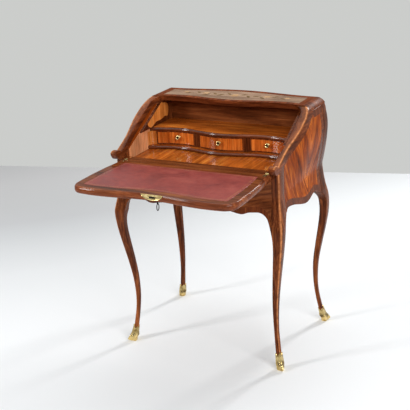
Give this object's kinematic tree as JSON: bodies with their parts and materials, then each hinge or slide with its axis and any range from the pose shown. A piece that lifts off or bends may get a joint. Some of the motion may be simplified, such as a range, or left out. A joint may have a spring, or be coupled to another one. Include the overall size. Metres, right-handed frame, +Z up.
{
  "type": "slant-front desk",
  "caption": "Small slant-front writing desk with bombe sides, cabriole legs, brass feet, an open leather-lined fall, drawers and a niche.",
  "frame": {"origin": "on the floor, at the middle of the footprint with the fall open", "axes": "+Z up, -Y towards the writer's seat, +X to the writer's right when facing the desk"},
  "size_m": [0.69, 0.7952, 0.92],
  "materials": {
    "kingwood": "dark reddish-brown crossbanded veneer, french polished",
    "tulipwood": "warm orange-brown figured veneer, french polished",
    "oak": "plain oak, waxed",
    "gilt": "gilt brass, worn",
    "steel": "dark patinated steel",
    "leather": "red leather with a gilt tooled line, worn smooth"
  },
  "bodies": {
    "carcass": {"leg_front_left": "kingwood", "leg_front_right": "kingwood", "leg_back_left": "kingwood", "leg_back_right": "kingwood", "slope_rail_left": "kingwood", "slope_rail_right": "kingwood", "back_panel": "kingwood", "front_apron": "kingwood", "top_board": "kingwood", "hinge_rail": "kingwood", "nest_base": "kingwood", "nest_shelf": "kingwood", "nest_divider_left": "kingwood", "nest_divider_right": "kingwood", "nest_back": "kingwood", "side_panel_left": "tulipwood", "side_panel_right": "tulipwood", "writing_bed": "tulipwood", "nest_end_left": "tulipwood", "nest_end_right": "tulipwood", "niche_cheek_left": "tulipwood", "niche_cheek_right": "tulipwood", "carcass_bottom": "oak", "sabot_front_left": "gilt", "sabot_front_right": "gilt", "sabot_back_left": "gilt", "sabot_back_right": "gilt", "hinge_leaf_fixed_left": "gilt", "hinge_leaf_fixed_right": "gilt", "hinge_pin_left": "gilt", "hinge_pin_right": "gilt"},
    "fall_front": {"fall_board": "kingwood", "fall_moulding": "kingwood", "writing_leather": "leather", "lock_plate": "gilt", "lock_case": "steel", "key_escutcheon": "gilt", "hinge_leaf_fall_left": "gilt", "hinge_leaf_fall_right": "gilt"},
    "left_drawer": {"drawer_left_front": "tulipwood", "drawer_left_box": "oak", "knob_left": "gilt"},
    "centre_drawer": {"drawer_centre_front": "tulipwood", "drawer_centre_box": "oak", "knob_centre": "gilt"},
    "right_drawer": {"drawer_right_front": "tulipwood", "drawer_right_box": "oak", "knob_right": "gilt"},
    "lock_key": {"key": "steel"},
    "bolt": {"lock_bolt": "steel"}
  },
  "joints": [
    {"name": "fall_hinge", "type": "hinge", "parent": "carcass", "child": "fall_front", "pos_m": [0, -0.06474, 0.746], "axis": [1, 0, 0], "range_deg": [-152.5, 0]},
    {"name": "left_drawer_slide", "type": "slide", "parent": "carcass", "child": "left_drawer", "axis": [0, -1, 0], "range_m": [0, 0.085]},
    {"name": "centre_drawer_slide", "type": "slide", "parent": "carcass", "child": "centre_drawer", "axis": [0, -1, 0], "range_m": [0, 0.085]},
    {"name": "right_drawer_slide", "type": "slide", "parent": "carcass", "child": "right_drawer", "axis": [0, -1, 0], "range_m": [0, 0.085]},
    {"name": "key_turn", "type": "hinge", "parent": "fall_front", "child": "lock_key", "pos_m": [0.007, -0.34378, 0.72], "axis": [0, 0, 1], "range_deg": [0, 180]},
    {"name": "bolt_slide", "type": "slide", "parent": "fall_front", "child": "bolt", "axis": [0, -1, 0], "range_m": [0, 0.008]}
  ],
  "couplings": [
    {"joint": "bolt_slide", "follows": "key_turn", "m_per_rad": 0.002546}
  ]
}
